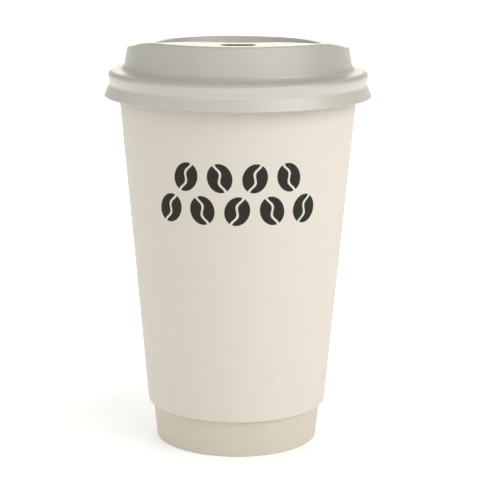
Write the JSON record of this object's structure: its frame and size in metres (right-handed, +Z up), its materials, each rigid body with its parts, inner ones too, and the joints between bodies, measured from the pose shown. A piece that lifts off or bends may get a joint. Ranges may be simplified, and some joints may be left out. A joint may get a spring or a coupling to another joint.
{
  "type": "double-wall paper coffee cup with sip lid",
  "caption": "Tall tapered paper cup for hot drinks: rolled rim, recessed base, outer wall round an air gap, and a press-fit domed lid with a raised mouthpiece and sip hole.",
  "frame": {"origin": "centre of the foot's underside, on the cup's axis", "axes": "+Z up along the cup's axis, -Y towards the sip hole, +X to the right of someone who faces the sip hole's side"},
  "size_m": [0.0936, 0.0936, 0.1435],
  "materials": {
    "cup_paper": "matte",
    "base_paper": "matte",
    "wrap_paper": "matte",
    "lid_plastic": "satin"
  },
  "bodies": {
    "root": {"inner_wall": "cup_paper", "base_disc": "base_paper", "outer_wall": "wrap_paper", "lid": "lid_plastic"}
  },
  "joints": []
}
